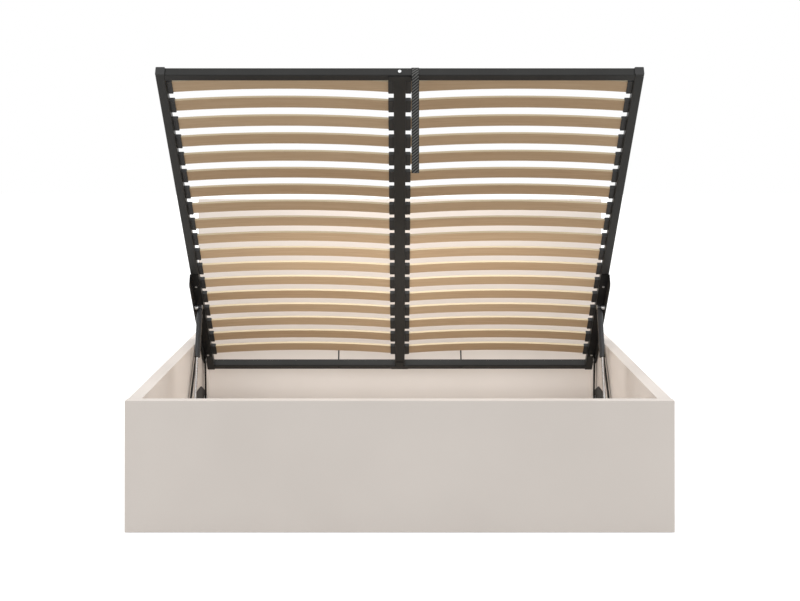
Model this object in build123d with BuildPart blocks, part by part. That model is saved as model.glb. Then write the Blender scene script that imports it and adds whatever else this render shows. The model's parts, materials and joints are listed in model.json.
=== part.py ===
from build123d import *
import os
from math import asin, cos, radians, sin, sqrt

os.makedirs("parts", exist_ok=True)

# Storage bed frame whose slatted base lifts on a pair of gas-strut fittings, shown with the base raised.
# X runs across the bed, +Y from the foot to the head and +Z up. The origin is on the floor at the centre.

# Mattress that the bed is made for, and the room round it inside the box
mattress_width = 1600.0
mattress_length = 2000.0
width_play = 10.0
length_play = 6.0

# Box of laminated boards
side_thickness = 44.0
end_thickness = 50.0
end_overhang = 3.0
panel_height = 407.5
headboard_height = 957.0
panel_edge_radius = 1.5
glide_height = 3.0
glide_radius = 9.5
glide_inset = 30.0
side_glide_inset = 500.0

# Floor of the storage space
cleat_height = 12.0
cleat_depth = 22.0
beam_width = 60.0
floor_thickness = 4.0
floor_play = 1.0

# Corner brackets and the screws that all brackets share
corner_leg = 36.0
corner_height = 80.0
corner_plate = 3.0
corner_level = 66.0
corner_screw_spacing = 50.0
corner_screw_offset = 22.0
corner_gap = 0.3
screw_radius = 2.0
screw_head_radius = 4.5
screw_head_height = 2.4
screw_length = 22.0
screw_play = 0.15
pilot_extra_depth = 2.0

# Slatted base, made of square tube
tube = 30.0
tube_wall = 1.6
tube_corner_radius = 2.5
mid_beam_width = 40.0
base_side_gap = 7.0
base_end_gap = 5.0
cross_rail_setback = 5.0
cap_thickness = 5.0
cap_plug_depth = 16.0
cap_play = 0.15

# Places of the raised and the closed base: its heel is the lower corner at the head end
lift_angle = 36.0
raised_heel_gap = 145.0
raised_heel_height = 258.0
closed_height = 300.0

# Slats and their holders
slat_count = 18
slat_width = 56.0
slat_thickness = 8.0
slat_bow = 15.0
first_slat_run = 117.0
last_slat_margin = 58.4
slat_level = 13.0
slat_end_gap = 6.0
holder_reach = 18.0
holder_margin = 4.0
holder_wall = 3.0
holder_play = 0.4
holder_chamfer = 2.0

# Joining plates under the mid beam, and the button bolts at its ends
plate_thickness = 3.0
plate_head_width = 75.0
plate_head_depth = 25.0
plate_stem_width = 30.0
plate_stem_depth = 30.0
plate_corner = 5.0
rail_bolt_radius = 6.0
rail_bolt_height = 3.0
rail_bolt_rounding = 2.0
rail_socket_radius = 2.6
rail_socket_depth = 1.8

# Mattress stop of bent round rod
stop_half_width = 254.0
stop_height = 95.0
stop_rod_radius = 3.0
stop_bend_radius = 18.0
stop_tip = 4.0
stop_play = 0.1

# Pull strap of flat webbing, looped over the foot rail
strap_width = 25.0
strap_thickness = 2.0
strap_drop = 319.0
strap_centre = 51.0

# Lift fitting: pivots given as run from the head end and drop below the base
front_pivot_run = 388.0
front_pivot_drop = 32.0
rear_pivot_run = 128.0
rear_pivot_drop = 23.0
strut_pivot_run = 558.0
strut_pivot_drop = 30.0
front_pivot_reach = 400.0
rear_pivot_reach = 145.0

# Frame bracket, an angle under each side rail
web_thickness = 3.0
web_front_drop = 48.0
web_rear_drop = 38.0
web_front_run = 753.0
web_rear_run = 112.0
web_full_run = 500.0
web_front_radius = 20.0
web_rear_radius = 15.0
web_rear_rise = 10.0
bracket_bolt_radius = 5.0
bracket_bolt_height = 3.5
bracket_bolt_inset = 16.0
front_bolt_run = 669.0
rear_bolt_run = 131.0

# Base bracket, a plate on each side panel
base_plate = 4.0
base_low = 105.0
waist_height = 60.0
base_end_margin = 26.0
base_ear_radius = 16.0
block_rise = 111.0
block_fall = 78.0
base_corner_radius = 6.0

# Arms, pins and gas struts
arm_width = 25.0
arm_thickness = 5.0
arm_gap = 0.5
pin_radius = 5.0
pin_play = 0.05
pin_head_radius = 8.0
pin_head_height = 2.5
rivet_radius = 7.5
rivet_height = 2.0
spacer_radius = 8.5
open_pin_gap = 0.3
strut_inset = 20.0
strut_body_radius = 11.0
strut_wall = 1.5
strut_body_reach = 205.0
strut_collar_length = 10.0
strut_collar_extra = 0.6
strut_rod_radius = 5.0
strut_rod_play = 0.05
strut_piston_length = 8.0
strut_piston_play = 0.3
strut_rod_overlap = 25.0
strut_eye_radius = 10.5
strut_eye_thickness = 12.0
strut_neck_radius = 5.0
strut_cavity_start = 17.0
strut_guide_length = 12.0
strut_head_radius = 9.8
strut_head_height = 5.0

# Ledge where the closed base rests
ledge_offset = 110.0
ledge_end_gap = 75.0
ledge_depth = 36.0
ledge_height = 40.0
pad_thickness = 4.0
pad_radius = 9.0
pad_inset = 70.0

# One overrun for every cut that goes right through
overrun = 1.0

# Sizes and places that follow
inner_width = mattress_width + width_play
inner_length = mattress_length + length_play
outer_width = inner_width + 2 * (side_thickness + end_overhang)
outer_length = inner_length + 2 * end_thickness
wall = inner_width / 2
base_width = inner_width - 2 * base_side_gap
base_length = inner_length - 2 * base_end_gap
head_face = inner_length / 2
foot_face = -head_face
panel_low = glide_height
panel_top = panel_low + panel_height
side_centre = wall + side_thickness / 2
end_centre = head_face + end_thickness / 2
rail_outer = base_width / 2
rail_centre = rail_outer - tube / 2
rail_inner = rail_outer - tube
sides = (-1, 1)


# Raised base: runs are measured from its head end towards the foot, heights above its underside
lift_cos = cos(radians(lift_angle))
lift_sin = sin(radians(lift_angle))
heel = Vector(0, head_face - raised_heel_gap, raised_heel_height)
deck = Plane(origin=heel, x_dir=(1, 0, 0), z_dir=(0, lift_sin, lift_cos))
foot_ward = deck.y_dir * -1


def deck_point(across, run, height):
    """A point of the raised base."""
    return deck.from_local_coords((across, -run, height))


def closed_point(run, drop):
    """The place of a pivot of the base when it is closed."""
    return Vector(0, head_face - base_end_gap - run, closed_height - drop)


def along(across, run, height):
    """A plane square to the side rails, whose extrusion runs towards the foot."""
    return Plane(origin=deck_point(across, run, height), x_dir=(1, 0, 0), z_dir=foot_ward)


def cross(across, run, height):
    """A plane square to the cross rails, whose extrusion runs towards +X."""
    return Plane(origin=deck_point(across, run, height), x_dir=deck.y_dir, z_dir=(1, 0, 0))


def level(across, run, height):
    """A plane parallel to the deck."""
    return Plane(origin=deck_point(across, run, height), x_dir=(1, 0, 0), z_dir=deck.z_dir)


def upright(across):
    """An upright plane along the bed, in which the linkage moves."""
    return Plane(origin=(across, 0, 0), x_dir=(0, 1, 0), z_dir=(1, 0, 0))


def base_pivot(run, drop, reach):
    """The fixed pivot as far from the raised as from the closed place of a pivot on the base."""
    raised = deck_point(0, run, -drop)
    closed = closed_point(run, drop)
    travel = closed - raised
    down = Vector(0, travel.Z, -travel.Y).normalized()
    if down.Z > 0:
        down = down * -1
    return (raised + closed) / 2 + down * reach


front_foot = base_pivot(front_pivot_run, front_pivot_drop, front_pivot_reach)
front_top = deck_point(0, front_pivot_run, -front_pivot_drop)
rear_foot = base_pivot(rear_pivot_run, rear_pivot_drop, rear_pivot_reach)
rear_top = deck_point(0, rear_pivot_run, -rear_pivot_drop)
strut_top = deck_point(0, strut_pivot_run, -strut_pivot_drop)


def save(name, label):
    """Label a finished piece and write it."""
    name.part.label = label
    export_step(name.part, "parts/" + label + ".step")


# Corner brackets: where their screws go into the boards
corner_near = corner_gap + corner_screw_offset
corner_screw_levels = [corner_level + share * corner_screw_spacing for share in (-0.5, 0.5)]


def end_screw_seats(end):
    """Screw seats on the inner face of the head or foot panel, facing into the box."""
    seats = []
    for side in sides:
        for height in corner_screw_levels:
            place = (side * (wall - corner_near), end * head_face, height)
            seats.append(Plane(origin=place, x_dir=(1, 0, 0), z_dir=(0, -end, 0)))
    return seats


def side_screw_seats(side):
    """Screw seats of the corner brackets on the inner face of a side panel."""
    seats = []
    for end in sides:
        for height in corner_screw_levels:
            place = (side * wall, end * (head_face - corner_near), height)
            seats.append(Plane(origin=place, x_dir=(0, 1, 0), z_dir=(-side, 0, 0)))
    return seats


# Base bracket: its screws lie along its waist and in its raised block
base_run = rear_foot.Y - front_foot.Y
base_screw_shares = (0.1, 0.34, 0.62, 0.9)
base_screw_level = base_low + waist_height / 2
block_start_share = 0.482
block_peak_share = 0.816


def base_screw_seats(side):
    """Screw seats of the base bracket on the inner face of a side panel."""
    seats = []
    for share in base_screw_shares:
        place = (side * wall, front_foot.Y + share * base_run, base_screw_level)
        seats.append(Plane(origin=place, x_dir=(0, 1, 0), z_dir=(-side, 0, 0)))
    return seats


def drill_pilots(seats):
    """Pilot holes under screw seats, in the board that is being built."""
    with Locations(*seats):
        Hole(radius=screw_radius + screw_play, depth=screw_length + pilot_extra_depth)


# Foot panel
with BuildPart() as foot_panel:
    with BuildSketch(Plane.XY.offset(panel_low)):
        with Locations((0, -end_centre)):
            Rectangle(outer_width, end_thickness)
    extrude(amount=panel_height)
    fillet(foot_panel.edges().filter_by(Axis.Z), radius=panel_edge_radius)
    fillet(foot_panel.faces().sort_by(Axis.Z)[-1].edges(), radius=panel_edge_radius)
    drill_pilots(end_screw_seats(-1))
save(foot_panel, "foot_panel")

# Headboard
with BuildPart() as headboard:
    with BuildSketch(Plane.XY.offset(panel_low)):
        with Locations((0, end_centre)):
            Rectangle(outer_width, end_thickness)
    extrude(amount=headboard_height)
    fillet(headboard.edges().filter_by(Axis.Z), radius=panel_edge_radius)
    fillet(headboard.faces().sort_by(Axis.Z)[-1].edges(), radius=panel_edge_radius)
    drill_pilots(end_screw_seats(1))
save(headboard, "headboard")

# Side panels
for side, side_name in ((-1, "left"), (1, "right")):
    with BuildPart() as side_panel:
        with BuildSketch(Plane.XY.offset(panel_low)):
            with Locations((side * side_centre, 0)):
                Rectangle(side_thickness, inner_length)
        extrude(amount=panel_height)
        top_edges = side_panel.faces().sort_by(Axis.Z)[-1].edges().filter_by(Axis.Y)
        fillet(top_edges, radius=panel_edge_radius)
        drill_pilots(side_screw_seats(side) + base_screw_seats(side))
    save(side_panel, "side_panel_" + side_name)

# Floor glides under the four boards
end_glides = [(share * (outer_width / 2 - glide_inset), end * end_centre)
              for share in (-1, 0, 1) for end in sides]
side_glides = [(side * side_centre, end * (head_face - side_glide_inset))
               for side in sides for end in sides]
with BuildPart() as floor_glides:
    with BuildSketch():
        with Locations(*end_glides, *side_glides):
            Circle(glide_radius)
    extrude(amount=glide_height)
save(floor_glides, "floor_glides")

# Floor of the storage space: side cleats, end cleats, a middle beam on feet and two boards
cleat_low = glide_height
cleat_top = cleat_low + cleat_height
for side, side_name in ((-1, "left"), (1, "right")):
    with BuildPart() as side_cleat:
        with BuildSketch(Plane.XY.offset(cleat_low)):
            with Locations((side * (wall - cleat_depth / 2), 0)):
                Rectangle(cleat_depth, inner_length)
        extrude(amount=cleat_height)
    save(side_cleat, "side_cleat_" + side_name)

with BuildPart() as end_cleats:
    with BuildSketch(Plane.XY.offset(cleat_low)):
        for side in sides:
            half_span = wall - cleat_depth - beam_width / 2
            with Locations(*[(side * (beam_width / 2 + half_span / 2), end * (head_face - cleat_depth / 2))
                             for end in sides]):
                Rectangle(half_span, cleat_depth)
    extrude(amount=cleat_height)
save(end_cleats, "end_cleats")

with BuildPart() as floor_beam:
    with BuildSketch(Plane.XY.offset(cleat_low)):
        Rectangle(beam_width, inner_length)
    extrude(amount=cleat_height)
save(floor_beam, "floor_beam")

with BuildPart() as beam_feet:
    with BuildSketch():
        with Locations(*[(0, share * inner_length / 3) for share in (-1, 0, 1)]):
            Circle(glide_radius)
    extrude(amount=glide_height)
save(beam_feet, "beam_feet")

board_width = wall - 2 * floor_play
for side, side_name in ((-1, "left"), (1, "right")):
    with BuildPart() as floor_board:
        with BuildSketch(Plane.XY.offset(cleat_top)):
            with Locations((side * (floor_play + board_width / 2), 0)):
                Rectangle(board_width, inner_length - 2 * floor_play)
        extrude(amount=floor_thickness)
    save(floor_board, "floor_board_" + side_name)

# Corner brackets: steel angles that join the boards
with BuildPart() as corner_brackets:
    for side in sides:
        for end in sides:
            corner_x = side * (wall - corner_gap)
            corner_y = end * (head_face - corner_gap)
            with BuildSketch(Plane.XY.offset(corner_level - corner_height / 2)):
                with BuildLine():
                    Polyline(
                        (corner_x, corner_y),
                        (corner_x - side * corner_leg, corner_y),
                        (corner_x - side * corner_leg, corner_y - end * corner_plate),
                        (corner_x - side * corner_plate, corner_y - end * corner_plate),
                        (corner_x - side * corner_plate, corner_y - end * corner_leg),
                        (corner_x, corner_y - end * corner_leg),
                        close=True,
                    )
                make_face()
            extrude(amount=corner_height)
    for end in sides:
        with Locations(*[seat.offset(corner_gap + corner_plate) for seat in end_screw_seats(end)]):
            Hole(radius=screw_radius + screw_play, depth=corner_plate + corner_gap)
    for side in sides:
        with Locations(*[seat.offset(corner_gap + corner_plate) for seat in side_screw_seats(side)]):
            Hole(radius=screw_radius + screw_play, depth=corner_plate + corner_gap)
save(corner_brackets, "corner_brackets")


def pan_head_screw(seat_height):
    """A wood screw seen from its seat on the board, with its head on a plate of that height."""
    with BuildPart(mode=Mode.PRIVATE) as screw:
        with BuildSketch(Plane.XZ):
            with BuildLine():
                Polyline(
                    (0, -screw_length),
                    (screw_radius, -screw_length),
                    (screw_radius, seat_height),
                    (screw_head_radius, seat_height),
                    (screw_head_radius, seat_height + screw_head_height),
                    (0, seat_height + screw_head_height),
                    close=True,
                )
            make_face()
        revolve(axis=Axis.Z)
    return screw.part


corner_screw = pan_head_screw(corner_gap + corner_plate)
with BuildPart() as corner_screws:
    all_corner_seats = []
    for end in sides:
        all_corner_seats += end_screw_seats(end) + side_screw_seats(end)
    with Locations(*all_corner_seats):
        add(corner_screw)
save(corner_screws, "corner_screws")

# Ledges inside the foot panel, and the pads on them that carry the closed base
ledge_top = closed_height - pad_thickness
ledge_length = wall - ledge_end_gap - ledge_offset
ledge_places = [(side * (ledge_offset + ledge_length / 2), foot_face + ledge_depth / 2) for side in sides]
with BuildPart() as foot_ledges:
    with BuildSketch(Plane.XY.offset(ledge_top - ledge_height)):
        with Locations(*ledge_places):
            Rectangle(ledge_length, ledge_depth)
    extrude(amount=ledge_height)
    foot_ledges_front = foot_ledges.edges().filter_by(Axis.X).group_by(Axis.Y)[-1].group_by(Axis.Z)[0]
    chamfer(foot_ledges_front, length=ledge_depth / 3)
save(foot_ledges, "foot_ledges")

foot_rail_run = base_length - cross_rail_setback - tube / 2
pad_y = head_face - base_end_gap - foot_rail_run
pad_places = [(side * (ledge_offset + spot), pad_y)
              for side in sides for spot in (pad_inset, ledge_length - pad_inset)]
with BuildPart() as ledge_pads:
    with BuildSketch(Plane.XY.offset(ledge_top)):
        with Locations(*pad_places):
            Circle(pad_radius)
    extrude(amount=pad_thickness)
save(ledge_pads, "ledge_pads")


def tube_section(width):
    """The hollow section of a square tube, with its underside on the sketch's axis."""
    with Locations((0, tube / 2)):
        RectangleRounded(width, tube, tube_corner_radius)
        RectangleRounded(width - 2 * tube_wall, tube - 2 * tube_wall, tube_corner_radius - tube_wall,
                         mode=Mode.SUBTRACT)


# Side rails, with a plastic cap in each end
rail_length = base_length - 2 * cap_thickness
for side, side_name in ((-1, "left"), (1, "right")):
    with BuildPart() as side_rail:
        with BuildSketch(along(side * rail_centre, cap_thickness, 0)):
            tube_section(tube)
        extrude(amount=rail_length)
    save(side_rail, "side_rail_" + side_name)

with BuildPart() as rail_caps:
    for side in sides:
        for run, inward in ((0, 1), (base_length, -1)):
            with BuildSketch(along(side * rail_centre, run, tube / 2)):
                RectangleRounded(tube, tube, tube_corner_radius)
            extrude(amount=inward * cap_thickness)
            plug = tube - 2 * (tube_wall + cap_play)
            with BuildSketch(along(side * rail_centre, run + inward * cap_thickness, tube / 2)):
                RectangleRounded(plug, plug, tube_corner_radius - tube_wall)
            extrude(amount=inward * cap_plug_depth)
save(rail_caps, "rail_caps")


# Cross rails between the side rails: the head rail is drilled for the mattress stop
def cross_rail(run):
    """A square tube from side rail to side rail, at a run from the head end."""
    with BuildPart() as rail:
        with BuildSketch(cross(-rail_inner, run, 0)):
            tube_section(tube)
        extrude(amount=2 * rail_inner)
    return rail


foot_rail = cross_rail(foot_rail_run)
save(foot_rail, "foot_rail")

head_rail_run = cross_rail_setback + tube / 2
head_rail = cross_rail(head_rail_run)
with head_rail:
    with Locations(*[level(side * stop_half_width, head_rail_run, tube) for side in sides]):
        Hole(radius=stop_rod_radius + stop_play, depth=tube + overrun)
save(head_rail, "head_rail")

# Mid beam, from cross rail to cross rail
beam_start = head_rail_run + tube / 2
beam_length = foot_rail_run - tube / 2 - beam_start
with BuildPart() as mid_beam:
    with BuildSketch(along(0, beam_start, 0)):
        tube_section(mid_beam_width)
    extrude(amount=beam_length)
save(mid_beam, "mid_beam")

# Joining plates: a T of sheet steel under each end of the mid beam
with BuildPart() as joining_plates:
    for run, inward in ((head_rail_run, 1), (foot_rail_run, -1)):
        outer_run = run + inward * (tube / 2 - plate_head_depth)
        with BuildSketch(level(0, outer_run, 0)):
            with BuildLine():
                half_head = plate_head_width / 2
                half_stem = plate_stem_width / 2
                stem_end = plate_head_depth + plate_stem_depth
                outline = [
                    (plate_corner - half_head, 0),
                    (half_head - plate_corner, 0),
                    (half_head, plate_corner),
                    (half_head, plate_head_depth),
                    (half_stem, plate_head_depth),
                    (half_stem, stem_end),
                    (-half_stem, stem_end),
                    (-half_stem, plate_head_depth),
                    (-half_head, plate_head_depth),
                    (-half_head, plate_corner),
                ]
                Polyline(*[(across, -inward * run_in) for across, run_in in outline], close=True)
            make_face()
        extrude(amount=-plate_thickness)
save(joining_plates, "joining_plates")

# Bolts through the cross rails into the mid beam: a button head with a hexagon socket
with BuildPart() as button_bolt:
    with BuildSketch():
        Circle(rail_bolt_radius)
    extrude(amount=rail_bolt_height)
    fillet(button_bolt.faces().sort_by(Axis.Z)[-1].edges(), radius=rail_bolt_rounding)
    with BuildSketch(Plane.XY.offset(rail_bolt_height)):
        RegularPolygon(rail_socket_radius, 6)
    extrude(amount=-rail_socket_depth, mode=Mode.SUBTRACT)

with BuildPart() as rail_bolts:
    for run, outward in ((foot_rail_run, 1), (head_rail_run, -1)):
        bolt_seat = deck_point(0, run + outward * tube / 2, tube / 2)
        with Locations(Plane(origin=bolt_seat, x_dir=(1, 0, 0), z_dir=foot_ward * outward)):
            add(button_bolt.part)
save(rail_bolts, "rail_bolts")

# Slats: strips bent to a bow, whose ends sit in the holders
slat_span = rail_inner - mid_beam_width / 2
slat_length = slat_span - 2 * slat_end_gap
slat_centre = mid_beam_width / 2 + slat_span / 2
last_slat_run = base_length - last_slat_margin - slat_width
slat_pitch = (last_slat_run - first_slat_run) / (slat_count - 1)
slat_runs = [first_slat_run + number * slat_pitch for number in range(slat_count)]


def slat_outline(length, play):
    """The bowed outline of a slat, or of its pocket where there is play."""
    half = length / 2
    low = -play
    high = slat_thickness + play
    with BuildSketch(mode=Mode.PRIVATE) as outline:
        with BuildLine():
            ThreePointArc((-half, low), (0, low + slat_bow), (half, low))
            Line((half, low), (half, high))
            ThreePointArc((half, high), (0, high + slat_bow), (-half, high))
            Line((-half, high), (-half, low))
        make_face()
    return outline.sketch


with BuildPart() as one_slat:
    with BuildSketch(Plane.XZ):
        add(slat_outline(slat_length, 0))
    extrude(amount=slat_width)

for side, side_name in ((-1, "left"), (1, "right")):
    with BuildPart() as slats:
        with Locations(*[level(side * slat_centre, run, slat_level) for run in slat_runs]):
            add(one_slat.part)
    save(slats, "slats_" + side_name)

# Slat holders: plastic pockets on the side rails and on the mid beam
holder_length = slat_width + 2 * holder_margin
holder_rise = slat_thickness + 2 * holder_wall
with BuildPart() as one_holder:
    with BuildSketch(Plane.XZ.offset(-holder_margin)):
        with Locations((-slat_span / 2 + holder_reach / 2, slat_thickness / 2)):
            Rectangle(holder_reach, holder_rise)
    extrude(amount=holder_length)
    chamfer(one_holder.edges().filter_by(Axis.Z).group_by(Axis.X)[-1], length=holder_chamfer)
    with BuildSketch(Plane.XZ.offset(-holder_play)):
        add(slat_outline(slat_length + 2 * holder_play, holder_play))
    extrude(amount=slat_width + 2 * holder_play, mode=Mode.SUBTRACT)

with BuildPart(mode=Mode.PRIVATE) as facing_holder:
    add(one_holder.part)
    mirror(about=Plane.YZ, mode=Mode.REPLACE)

for side, side_name in ((-1, "left"), (1, "right")):
    outer_shape = one_holder if side < 0 else facing_holder
    inner_shape = facing_holder if side < 0 else one_holder
    seats = [level(side * slat_centre, run, slat_level) for run in slat_runs]
    with BuildPart() as outer_holders:
        with Locations(*seats):
            add(outer_shape.part)
    save(outer_holders, "outer_holders_" + side_name)
    with BuildPart() as inner_holders:
        with Locations(*seats):
            add(inner_shape.part)
    save(inner_holders, "inner_holders_" + side_name)

# Mattress stop: one bent rod whose legs stand in the head rail
with BuildPart() as mattress_stop:
    stop_plane = along(0, head_rail_run, 0)
    with BuildLine(stop_plane):
        FilletPolyline(
            (-stop_half_width, -stop_tip),
            (-stop_half_width, stop_height),
            (stop_half_width, stop_height),
            (stop_half_width, -stop_tip),
            radius=stop_bend_radius,
        )
    with BuildSketch(level(-stop_half_width, head_rail_run, -stop_tip)):
        Circle(stop_rod_radius)
    sweep()
save(mattress_stop, "mattress_stop")

# Pull strap: a loop round the foot rail, and the tail that hangs from its lower foot-side corner
strap_outer = tube + 2 * strap_thickness
with BuildPart() as strap_loop:
    with BuildSketch(cross(strap_centre - strap_width / 2, foot_rail_run, tube / 2)):
        Rectangle(strap_outer, strap_outer)
        Rectangle(tube, tube, mode=Mode.SUBTRACT)
    extrude(amount=strap_width)
save(strap_loop, "strap_loop")

strap_hinge = deck_point(strap_centre, foot_rail_run + strap_outer / 2, -strap_thickness)
with BuildPart() as pull_strap:
    tail_centre = (strap_hinge.X, strap_hinge.Y - strap_thickness / 2)
    with BuildSketch(Plane.XY.offset(strap_hinge.Z)):
        with Locations(tail_centre):
            Rectangle(strap_width, strap_thickness)
    extrude(amount=-strap_drop)
save(pull_strap, "pull_strap")

# Frame bracket: a flange under the side rail and a web that hangs outside it and holds the pivots
web_inner = rail_outer
web_outer = rail_outer + web_thickness


def plate_at(side, near, thickness):
    """An upright plane at a distance from the middle, and the way to extrude away from the middle."""
    return upright(side * near), side * thickness


def deck_outline(runs_and_drops):
    """Points of the upright sketch for places on the base, given as run and drop."""
    points = [deck_point(0, run, -drop) for run, drop in runs_and_drops]
    return [(point.Y, point.Z) for point in points]


def pivot_spot(point):
    """A pivot's place in an upright sketch."""
    return (point.Y, point.Z)


bolt_across = rail_inner + bracket_bolt_inset

for side, side_name in ((-1, "left"), (1, "right")):
    with BuildPart() as frame_bracket:
        web_plane, web_way = plate_at(side, web_inner, web_thickness)
        with BuildSketch(web_plane):
            with BuildLine():
                FilletPolyline(
                    *deck_outline([
                        (web_rear_run, 0),
                        (web_rear_run, web_rear_drop),
                        (web_full_run, web_front_drop),
                        (web_front_run, web_front_drop),
                        (web_front_run, 0),
                    ]),
                    radius=web_rear_radius,
                )
                Line(*deck_outline([(web_front_run, 0), (web_rear_run, 0)]))
            make_face()
            with Locations(pivot_spot(front_top)):
                Circle(pin_radius, mode=Mode.SUBTRACT)
        extrude(amount=web_way)
        flange_middle = side * (rail_inner + web_outer) / 2
        with BuildSketch(along(flange_middle, web_rear_run, -web_thickness / 2)):
            Rectangle(web_outer - rail_inner, web_thickness)
        extrude(amount=web_front_run - web_rear_run)
    save(frame_bracket, "frame_bracket_" + side_name)

# Bolts that hold the flanges to the side rails: a hexagon head under each flange
with BuildPart() as bracket_bolts:
    for side in sides:
        for run in (front_bolt_run, rear_bolt_run):
            with BuildSketch(level(side * bolt_across, run, -web_thickness)):
                RegularPolygon(bracket_bolt_radius, 6)
            extrude(amount=-bracket_bolt_height)
save(bracket_bolts, "bracket_bolts")

# Base bracket: a long plate on the side panel, with an ear for each lower pivot
plate_inner = wall - base_plate
base_front = front_foot.Y - base_end_margin
base_rear = rear_foot.Y + base_end_margin
block_front = front_foot.Y + block_start_share * base_run
block_peak = front_foot.Y + block_peak_share * base_run
for side, side_name in ((-1, "left"), (1, "right")):
    with BuildPart() as base_bracket:
        base_plane, base_way = plate_at(side, plate_inner, base_plate)
        with BuildSketch(base_plane) as base_outline:
            with BuildLine():
                Polyline(
                    (base_front, base_low),
                    (base_rear, base_low),
                    (base_rear, base_low + block_fall),
                    (block_peak, base_low + block_rise),
                    (block_front, base_low + block_rise),
                    (block_front, base_low + waist_height),
                    (base_front, base_low + waist_height),
                    close=True,
                )
            make_face()
            fillet(base_outline.vertices(), radius=base_corner_radius)
            for pivot in (front_foot, rear_foot):
                ear_height = pivot.Z - base_low - base_ear_radius
                with Locations((pivot.Y, base_low + base_ear_radius + ear_height / 2)):
                    SlotCenterToCenter(ear_height, 2 * base_ear_radius, rotation=90)
            for pivot in (front_foot, rear_foot):
                with Locations(pivot_spot(pivot)):
                    Circle(pin_radius + pin_play, mode=Mode.SUBTRACT)
        extrude(amount=base_way)
        with Locations(*[seat.offset(base_plate) for seat in base_screw_seats(side)]):
            Hole(radius=screw_radius + screw_play, depth=base_plate)
    save(base_bracket, "base_bracket_" + side_name)

base_screw = pan_head_screw(base_plate)
with BuildPart() as base_screws:
    with Locations(*(base_screw_seats(-1) + base_screw_seats(1))):
        add(base_screw)
save(base_screws, "base_screws")

# Arms: flat bars with an eye at each end, just inside the webs
arm_outer = web_inner - arm_gap
arm_inner = arm_outer - arm_thickness


def arm(side, lower, upper):
    """A flat bar between two pivots, with a round eye at each."""
    plane, way = plate_at(side, arm_inner, arm_thickness)
    with BuildPart() as bar:
        with BuildSketch(plane):
            span = upper - lower
            tilt = Vector(0, 1, 0).get_signed_angle(span, Vector(1, 0, 0))
            with Locations(pivot_spot((upper + lower) / 2)):
                SlotCenterToCenter(span.length, arm_width, rotation=tilt)
            for pivot in (lower, upper):
                with Locations(pivot_spot(pivot)):
                    Circle(pin_radius + pin_play, mode=Mode.SUBTRACT)
        extrude(amount=way)
    return bar


for side, side_name in ((-1, "left"), (1, "right")):
    save(arm(side, front_foot, front_top), "front_arm_" + side_name)
    save(arm(side, rear_foot, rear_top), "rear_arm_" + side_name)

# Pins: each is a round bar along X, with a flat round or a hexagon head at its inner end
strut_middle = arm_outer - strut_inset
strut_inner = strut_middle - strut_eye_thickness / 2


def round_head():
    """The outline and the height of a flat round head."""
    with BuildSketch(mode=Mode.PRIVATE) as outline:
        Circle(pin_head_radius)
    return outline.sketch, pin_head_height


def hexagon_head():
    """The outline and the height of a hexagon head."""
    with BuildSketch(mode=Mode.PRIVATE) as outline:
        RegularPolygon(strut_head_radius, 6)
    return outline.sketch, strut_head_height


def pin(side, point, outer, inner, head):
    """A pivot pin between two distances from the middle, with its head inside the inner one."""
    plane, way = plate_at(side, inner, outer - inner)
    head_outline, head_height = head
    with BuildPart(mode=Mode.PRIVATE) as bar:
        with BuildSketch(plane):
            with Locations(pivot_spot(point)):
                Circle(pin_radius)
        extrude(amount=way)
        with BuildSketch(plane):
            with Locations(pivot_spot(point)):
                add(head_outline)
        extrude(amount=-side * head_height)
    return bar.part


def pins(point, outer, inner, head):
    """The pin of the left and that of the right fitting."""
    with BuildPart() as pair:
        for side in sides:
            add(pin(side, point, outer, inner, head))
    return pair


open_end = web_inner - open_pin_gap
save(pins(front_foot, wall, strut_inner - pin_play, round_head()), "front_lower_pins")
save(pins(rear_foot, wall, arm_inner - pin_play, round_head()), "rear_lower_pins")
save(pins(front_top, web_outer, arm_inner - pin_play, round_head()), "front_upper_pins")
save(pins(rear_top, open_end, arm_inner - pin_play, round_head()), "rear_upper_pins")
save(pins(strut_top, open_end, strut_inner - pin_play, hexagon_head()), "strut_upper_pins")


# Rivet heads on the outside of each web, over its three pivots
with BuildPart() as web_rivets:
    for side in sides:
        plane, way = plate_at(side, web_outer, rivet_height)
        with BuildSketch(plane):
            with Locations(*[pivot_spot(point) for point in (front_top, rear_top, strut_top)]):
                Circle(rivet_radius)
        extrude(amount=way)
save(web_rivets, "web_rivets")

# Spacers: rings on the pins between a plate, an arm and a strut eye
def spacer(side, point, outer, inner):
    """A ring on a pin between two distances from the middle."""
    plane, way = plate_at(side, inner, outer - inner)
    with BuildPart(mode=Mode.PRIVATE) as ring:
        with BuildSketch(plane):
            with Locations(pivot_spot(point)):
                Circle(spacer_radius)
                Circle(pin_radius + pin_play, mode=Mode.SUBTRACT)
        extrude(amount=way)
    return ring.part


strut_outer = strut_middle + strut_eye_thickness / 2
with BuildPart() as pin_spacers:
    for side in sides:
        add(spacer(side, front_foot, plate_inner, arm_outer + pin_play))
        add(spacer(side, front_foot, arm_inner - pin_play, strut_outer + pin_play))
        add(spacer(side, rear_foot, plate_inner, arm_outer + pin_play))
save(pin_spacers, "pin_spacers")

with BuildPart() as strut_spacers:
    for side in sides:
        add(spacer(side, strut_top, open_end, strut_outer + pin_play))
save(strut_spacers, "strut_spacers")

# Gas struts: the body hangs on the frame bracket, its rod ends on the front lower pin
strut_way = (front_foot - strut_top).normalized()
strut_open_length = (front_foot - strut_top).length


def strut_plane(side, distance):
    """A plane square to the strut, at a distance below its upper eye."""
    centre = strut_top + strut_way * distance
    return Plane(origin=(side * strut_middle, centre.Y, centre.Z), x_dir=(1, 0, 0), z_dir=strut_way)


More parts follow.
